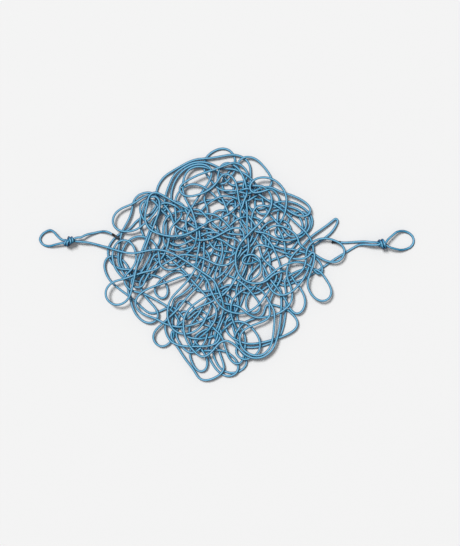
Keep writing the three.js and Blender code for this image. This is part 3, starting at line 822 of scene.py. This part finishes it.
def frames_along(line):
    """Two directions square to the line at each of its points, turned as little as can
    be from each to the next."""
    ways = np.gradient(line, axis=0)
    ways /= np.linalg.norm(ways, axis=1)[:, None]
    side = np.cross(ways[0], (0, 0, 1))
    sides = []
    for way in ways:
        side = side - way * side.dot(way)
        side /= np.linalg.norm(side)
        sides.append(side)
    sides = np.array(sides)
    return sides, np.cross(ways, sides)


centres, metres = rings_along(whole_line)
across, upward = frames_along(centres)
turn = np.arange(SIDES) * 2 * math.pi / SIDES
corners = (
    centres[:, None]
    + RADIUS * np.cos(turn)[:, None] * across[:, None]
    + RADIUS * np.sin(turn)[:, None] * upward[:, None]
).reshape(-1, 3)
ring = np.arange(len(centres) - 1)[:, None] * SIDES
corner = np.arange(SIDES)
beside = (corner + 1) % SIDES
sheath_faces = np.stack(
    [ring + corner, ring + beside, ring + SIDES + beside, ring + SIDES + corner], -1
).reshape(-1, 4)
last = (len(centres) - 1) * SIDES
caps = [list(range(SIDES))[::-1], list(range(last, last + SIDES))]
sheath = bpy.data.meshes.new("rope")
sheath.from_pydata(corners.tolist(), [], sheath_faces.tolist() + caps)
round_it = np.stack([corner, corner + 1, corner + 1, corner], -1) / SIDES
round_it = np.tile(round_it, (len(centres) - 1, 1))
long_it = np.stack([metres[:-1], metres[:-1], metres[1:], metres[1:]], -1)
long_it = np.repeat(long_it, SIDES, axis=0)
sheath_map = np.stack([round_it, long_it], -1).reshape(-1, 2)
sheath_map = np.vstack([sheath_map, np.zeros((2 * SIDES, 2))])
sheath.uv_layers.new(name="along the rope").data.foreach_set("uv", sheath_map.ravel())
sheath.shade_smooth()
rope = placed("rope", sheath)


def new_material(name):
    """A material with its tree and its empty Principled shader."""
    material = bpy.data.materials.new(name)
    material.use_nodes = True
    tree = material.node_tree
    tree.nodes.clear()
    out = tree.nodes.new("ShaderNodeOutputMaterial")
    skin = tree.nodes.new("ShaderNodeBsdfPrincipled")
    tree.links.new(skin.outputs[0], out.inputs[0])
    return material, tree, skin


def feed(tree, sockets, values):
    """Sets sockets to numbers and colours, or links other nodes' outputs to them."""
    for socket, value in zip(sockets, values):
        if isinstance(value, bpy.types.NodeSocket):
            tree.links.new(value, socket)
        else:
            socket.default_value = value


def maths(tree, kind, *values):
    """A Math node's output."""
    node = tree.nodes.new("ShaderNodeMath")
    node.operation = kind
    feed(tree, node.inputs, values)
    return node.outputs[0]


def blend_values(tree, share, one, other):
    node = tree.nodes.new("ShaderNodeMix")
    feed(tree, (node.inputs[0], *node.inputs[2:4]), (share, one, other))
    return node.outputs[0]


def blend_colours(tree, share, one, other):
    node = tree.nodes.new("ShaderNodeMix")
    node.data_type = "RGBA"
    feed(tree, (node.inputs[0], *node.inputs[6:8]), (share, one, other))
    return node.outputs[2]


def read_map(tree, name):
    """The two directions of a piece's own map."""
    place = tree.nodes.new("ShaderNodeUVMap")
    place.uv_map = name
    parts = tree.nodes.new("ShaderNodeSeparateXYZ")
    tree.links.new(place.outputs[0], parts.inputs[0])
    return parts.outputs[0], parts.outputs[1]


def finish(tree, skin, looks, height, strength, deep):
    """Gives the skin its looks and raises it where height is 1, by so many metres."""
    feed(tree, [skin.inputs[name] for name in looks], looks.values())
    bump = tree.nodes.new("ShaderNodeBump")
    bump.inputs["Strength"].default_value = strength
    bump.inputs["Distance"].default_value = deep
    tree.links.new(height, bump.inputs["Height"])
    tree.links.new(bump.outputs[0], skin.inputs["Normal"])


# The sheath's braid: 32 yarns, 16 each way round, woven over one and under one. A yarn
# goes once round the rope in BRAID_TURN. One whose draw is over TRACERS, about one in
# seven, is a lilac tracer.
YARNS = 16
BRAID_TURN = math.pi * ROPE * 1.1
TRACERS = 0.86
LILAC = (0.45, 0.36, 0.62, 1)
# The blue as painted light: a painted highlight where a yarn faces the eye, painted shade where it
# turns off, and at three shares between
BLUES_WITH_PAINTED_LIGHT = (
    (0.0, (0.24, 0.56, 0.76, 1)),
    (1.0, (0.0, 0.015, 0.04, 1)),
    (0.1, (0.05, 0.36, 0.57, 1)),
    (0.3, (0.0, 0.15, 0.30, 1)),
    (0.6, (0.0, 0.045, 0.11, 1)),
)
sheath_material, tree, skin = new_material("braided sheath")
round_rope, along_rope = read_map(tree, "along the rope")
around = maths(tree, "MULTIPLY", round_rope, YARNS)
onward = maths(tree, "MULTIPLY", along_rope, YARNS / BRAID_TURN)
yarns, crowns, numbers = [], [], []
for way in ("ADD", "SUBTRACT"):
    across_yarns = maths(tree, way, around, onward)
    yarns.append(maths(tree, "FLOOR", across_yarns))
    half_round = maths(tree, "MULTIPLY", maths(tree, "FRACT", across_yarns), math.pi)
    crowns.append(maths(tree, "SINE", half_round))
    numbers.append(maths(tree, "FLOORED_MODULO", yarns[-1], YARNS))
crossing = maths(tree, "ABSOLUTE", maths(tree, "ADD", *yarns))
over = maths(tree, "GREATER_THAN", maths(tree, "MODULO", crossing, 2), 0.5)
heights = []
for crown, other in (crowns, crowns[::-1]):
    heights.append(maths(tree, "MULTIPLY", crown, maths(tree, "MULTIPLY_ADD", other, 0.5, 0.5)))
crown = blend_values(tree, over, *heights)
number = blend_values(tree, over, numbers[0], maths(tree, "ADD", numbers[1], 40))
each = tree.nodes.new("ShaderNodeTexWhiteNoise")
each.noise_dimensions = "1D"
tree.links.new(number, each.inputs["W"])
tracer = maths(tree, "GREATER_THAN", each.outputs[0], TRACERS)
# painted light by view angle: a pale painted highlight where the nylon faces the eye and painted
# shade, deep in colour, where it turns off
turned_off = tree.nodes.new("ShaderNodeLayerWeight")
turned_off.inputs["Blend"].default_value = 0.5
shade = tree.nodes.new("ShaderNodeValToRGB")
tree.links.new(turned_off.outputs["Facing"], shade.inputs[0])
stops = shade.color_ramp.elements
for i, (where, blue) in enumerate(BLUES_WITH_PAINTED_LIGHT):
    stop = stops[i] if i < 2 else stops.new(where)
    stop.color = blue
# the tracers' lilac laid over the painted highlight and shade
tinted = maths(tree, "MULTIPLY", tracer, 0.4)
tracer_over_painted_light = blend_colours(tree, tinted, shade.outputs[0], LILAC)
uneven = maths(tree, "MULTIPLY_ADD", each.outputs[0], 0.25, 0.85)
# painted shade in the grooves between the yarns, slightly lighter on their crowns
painted_groove_shade = maths(tree, "MULTIPLY_ADD", maths(tree, "POWER", crown, 0.6), 0.4, 0.7)
dim = tree.nodes.new("ShaderNodeVectorMath")
dim.operation = "SCALE"
tree.links.new(tracer_over_painted_light, dim.inputs[0])
tree.links.new(maths(tree, "MULTIPLY", uneven, painted_groove_shade), dim.inputs["Scale"])
looks = {"Base Color": dim.outputs[0], "Roughness": 0.4}
looks |= {"Specular IOR Level": 0.3, "Specular Tint": (1.0, 0.8, 1.0, 1)}
finish(tree, skin, looks, crown, 0.6, 0.0004)
sheath.materials.append(sheath_material)

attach(rope, "root")
stood_for = ["pile_inner_turns", "pile_loops"]
for end in ("bottom_end", "top_end"):
    stood_for += [f"{end}_{part}" for part in ("lead", "knotted_loop", "tail_sheath")]
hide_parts(*stood_for)

# The core: twelve twisted white nylon strands in each tail, three inside nine, which
# the sheath hides. They keep their CAD shapes and show the twist of their yarns.
# painted shade: the white is darker in the hollows of the twist and paler on its crowns
SHADED_HOLLOW_WHITE, LIT_CROWN_WHITE = (0.55, 0.56, 0.53, 1), (0.82, 0.83, 0.80, 1)
core_material, tree, skin = new_material("twisted core")
place = tree.nodes.new("ShaderNodeTexCoord")
twist = tree.nodes.new("ShaderNodeTexWave")
twist.bands_direction = "DIAGONAL"
twist.inputs["Scale"].default_value = 400
twist.inputs["Distortion"].default_value = 2
tree.links.new(place.outputs["Object"], twist.inputs["Vector"])
white = blend_colours(tree, twist.outputs["Fac"], SHADED_HOLLOW_WHITE, LIT_CROWN_WHITE)
looks = {"Base Color": white, "Roughness": 0.7}
finish(tree, skin, looks, twist.outputs["Fac"], 0.5, 0.0002)
for name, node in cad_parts.items():
    if "core_strand" in name:
        node.data.materials.clear()
        node.data.materials.append(core_material)

# The end sleeves: thin black shrink tube, about 40 mm long and 0.9 mm thick, shrunk over
# each tail, so that it waves a little over the braid and its cut lips draw in. A few
# plain pale dashes are printed round the middle.
SLEEVE_LENGTH = 0.0434
SLEEVE_WALL = 0.0009
SLEEVE_AIR = 0.00003
SLEEVE_OVERHANG = 0.003
SLEEVE_SIDES = 48
WAVES, WAVE_GAP, WAVE_DEPTH = 34, 0.0012, 0.00004
DASHES, DASH_SHARE, DASH_WIDE = 7, 0.55, 0.0009
BLACK, WORN_BLACK = (0.006, 0.006, 0.008, 1), (0.022, 0.022, 0.026, 1)
PALE_PRINT = (0.55, 0.56, 0.56, 1)
# The maps of the sleeves and melted ends count centimetres along the rope
PER_METRE = 100


def spun(outline):
    """A closed outline, or one from axis to axis, spun once round the x axis."""
    shape = bmesh.new()
    points = [shape.verts.new((x, 0, r)) for x, r in outline]
    edges = [shape.edges.new(pair) for pair in zip(points, points[1:])]
    if outline[0][1] > 0:
        edges.append(shape.edges.new((points[-1], points[0])))
    bmesh.ops.spin(
        shape, geom=points + edges, axis=(1, 0, 0), cent=(0, 0, 0),
        angle=2 * math.pi, steps=SLEEVE_SIDES, use_merge=True,
    )
    bmesh.ops.remove_doubles(shape, verts=shape.verts, dist=1e-6)
    bmesh.ops.recalc_face_normals(shape, faces=shape.faces)
    return shape


def on_the_rope(shape, line, name, material, node):
    """The spun shape as a piece that follows the rope's line from its first point on,
    with the map "along and round"."""
    sides, ups = frames_along(line)
    ahead = (line[1] - line[0]) / np.linalg.norm(line[1] - line[0])
    chart = shape.loops.layers.uv.new("along and round")
    for face in shape.faces:
        places = [loop.vert.co for loop in face.loops]
        rounds = [math.atan2(place.z, place.y) / 2 / math.pi % 1 for place in places]
        for loop, turned in zip(face.loops, rounds):
            wrapped = turned + 1 if max(rounds) - turned > 0.5 else turned
            loop[chart].uv = (loop.vert.co.x * PER_METRE, wrapped)
        face.smooth = True
    for corner in shape.verts:
        x, y, z = corner.co
        i = min(max(round(x / FINE_STEP), 0), len(line) - 1)
        corner.co = line[i] + ahead * min(x, 0) + y * sides[i] + z * ups[i]
    data = bpy.data.meshes.new(name)
    data.materials.append(material)
    shape.to_mesh(data)
    shape.free()
    piece = placed(name, data)
    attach(piece, "root")
    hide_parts(node)
    return piece


def mottle(tree, scale, detail):
    """Uneven patches from 0 to 1, so many to a metre."""
    spot = tree.nodes.new("ShaderNodeTexCoord")
    patches = tree.nodes.new("ShaderNodeTexNoise")
    patches.inputs["Scale"].default_value = scale
    patches.inputs["Detail"].default_value = detail
    tree.links.new(spot.outputs["Object"], patches.inputs["Vector"])
    return patches.outputs[0]


outer, inner = RADIUS + SLEEVE_WALL, RADIUS + SLEEVE_AIR
wall = [(0.0001, inner + 0.0002), (0, inner + 0.0005)]
wall += [(0.0003, outer - 0.0003), (0.001, outer - 0.0001)]
for i in range(WAVES):
    wall.append((0.002 + WAVE_GAP * i, outer - WAVE_DEPTH * (1 + math.sin(2.1 * i))))
wall += [(SLEEVE_LENGTH - x, r) for x, r in reversed(wall[:4])]
wall += [(SLEEVE_LENGTH - 0.0006, inner), (0.0006, inner)]
sleeve_material, tree, skin = new_material("black shrink sleeve")
along_sleeve, round_sleeve = read_map(tree, "along and round")
middle = (SLEEVE_LENGTH / 2 - SLEEVE_OVERHANG) * PER_METRE
from_middle = maths(tree, "ABSOLUTE", maths(tree, "SUBTRACT", along_sleeve, middle))
printed = maths(tree, "LESS_THAN", from_middle, DASH_WIDE / 2 * PER_METRE)
in_dash = maths(tree, "FRACT", maths(tree, "MULTIPLY", round_sleeve, DASHES))
dash = maths(tree, "LESS_THAN", in_dash, DASH_SHARE)
scuffs = mottle(tree, 900, 4)
black = blend_colours(tree, scuffs, BLACK, WORN_BLACK)
black = blend_colours(tree, maths(tree, "MULTIPLY", printed, dash), black, PALE_PRINT)
looks = {"Base Color": black, "Roughness": maths(tree, "MULTIPLY_ADD", scuffs, 0.3, 0.3)}
finish(tree, skin, looks, scuffs, 0.25, 0.0002)
# the last 60 mm of rope at each end, from its tip inwards
ends = {"bottom_end": whole_line[:60], "top_end": whole_line[::-1][:60]}
for end, line in ends.items():
    shape = spun([(x - SLEEVE_OVERHANG, r) for x, r in wall])
    name, node = f"{end}_shrink_sleeve", f"{end}_sleeve"
    on_the_rope(shape, line, name, sleeve_material, node)

# The melted ends: sheath and core fused to one hard skin by a hot knife, domed and a
# little lumpy, dark blue with scorched brown patches. Each fills its sleeve's mouth.
dome = [(-0.0036, 0), (-0.0035, 0.0015), (-0.0031, 0.003), (-0.0024, 0.0041)]
dome += [(-0.0014, 0.0047), (0, 0.0049), (0, 0)]
LUMP_SHARE, LUMPS_TO_METRE = 0.06, 600
DEEP_BLUE, MELTED_BLUE = (0.01, 0.07, 0.13, 1), (0.05, 0.20, 0.30, 1)
SCORCHED_BROWN = (0.05, 0.03, 0.02, 1)
melted_material, tree, skin = new_material("melted nylon")
patches = mottle(tree, 500, 5)
scorched = maths(tree, "GREATER_THAN", patches, 0.56)
fused = blend_colours(tree, patches, DEEP_BLUE, MELTED_BLUE)
fused = blend_colours(tree, maths(tree, "MULTIPLY", scorched, 0.6), fused, SCORCHED_BROWN)
looks = {"Base Color": fused, "Roughness": 0.25}
finish(tree, skin, looks, patches, 0.5, 0.0004)
for end, line in ends.items():
    shape = spun(dome)
    for corner in shape.verts:
        if corner.co.x < -0.0001:
            lump = noise.noise(corner.co * LUMPS_TO_METRE + Vector((len(end), 0, 0)))
            corner.co *= 1 + LUMP_SHARE * lump
    name, node = f"{end}_melted_skin", f"{end}_melted_end"
    on_the_rope(shape, line, name, melted_material, node)

# The floor: plain, pale and matt, and large enough for every view. It throws less light
# back on the rope than it shows to the camera.
FLOOR_SIZE = 30
FLOOR_THROWS, FLOOR_SHOWS = (0.4, 0.4, 0.4, 1), (0.81, 0.81, 0.81, 1)
floor_mesh = bmesh.new()
bmesh.ops.create_grid(floor_mesh, x_segments=1, y_segments=1, size=FLOOR_SIZE)
floor_data = bpy.data.meshes.new("floor")
floor_mesh.to_mesh(floor_data)
floor_mesh.free()
floor = placed("floor", floor_data)
floor_material, tree, skin = new_material("pale floor")
skin.inputs["Roughness"].default_value = 0.9
seen = tree.nodes.new("ShaderNodeLightPath")
shows = maths(tree, "MAXIMUM", seen.outputs["Is Camera Ray"], seen.outputs["Is Glossy Ray"])
shade = blend_colours(tree, shows, FLOOR_THROWS, FLOOR_SHOWS)
tree.links.new(shade, skin.inputs["Base Color"])
floor_data.materials.append(floor_material)

# The light: one soft lamp far off at the upper left, as in the photograph, and an even
# sky, which looks paler to the camera than the light that it gives.
SKY_GIVES, SKY_SHOWS = 0.32, 0.88
lamp = placed("lamp", bpy.data.lights.new("lamp", "SUN"))
lamp.data.angle = math.radians(20)
lamp.data.energy = 2.95
lamp.location = (-1.7, 1.9, 4.0)
lamp.rotation_euler = (-lamp.location).to_track_quat("-Z", "Y").to_euler()
world = bpy.data.worlds.new("sky")
world.use_nodes = True
tree = world.node_tree
sky = tree.nodes["Background"]
sky.inputs[0].default_value = (1, 1, 1, 1)
seen = tree.nodes.new("ShaderNodeLightPath")
shows = maths(
    tree, "MULTIPLY_ADD", seen.outputs["Is Camera Ray"], SKY_SHOWS - SKY_GIVES, SKY_GIVES
)
tree.links.new(shows, sky.inputs[1])
bpy.context.scene.world = world
bpy.context.scene.view_settings.view_transform = "Standard"
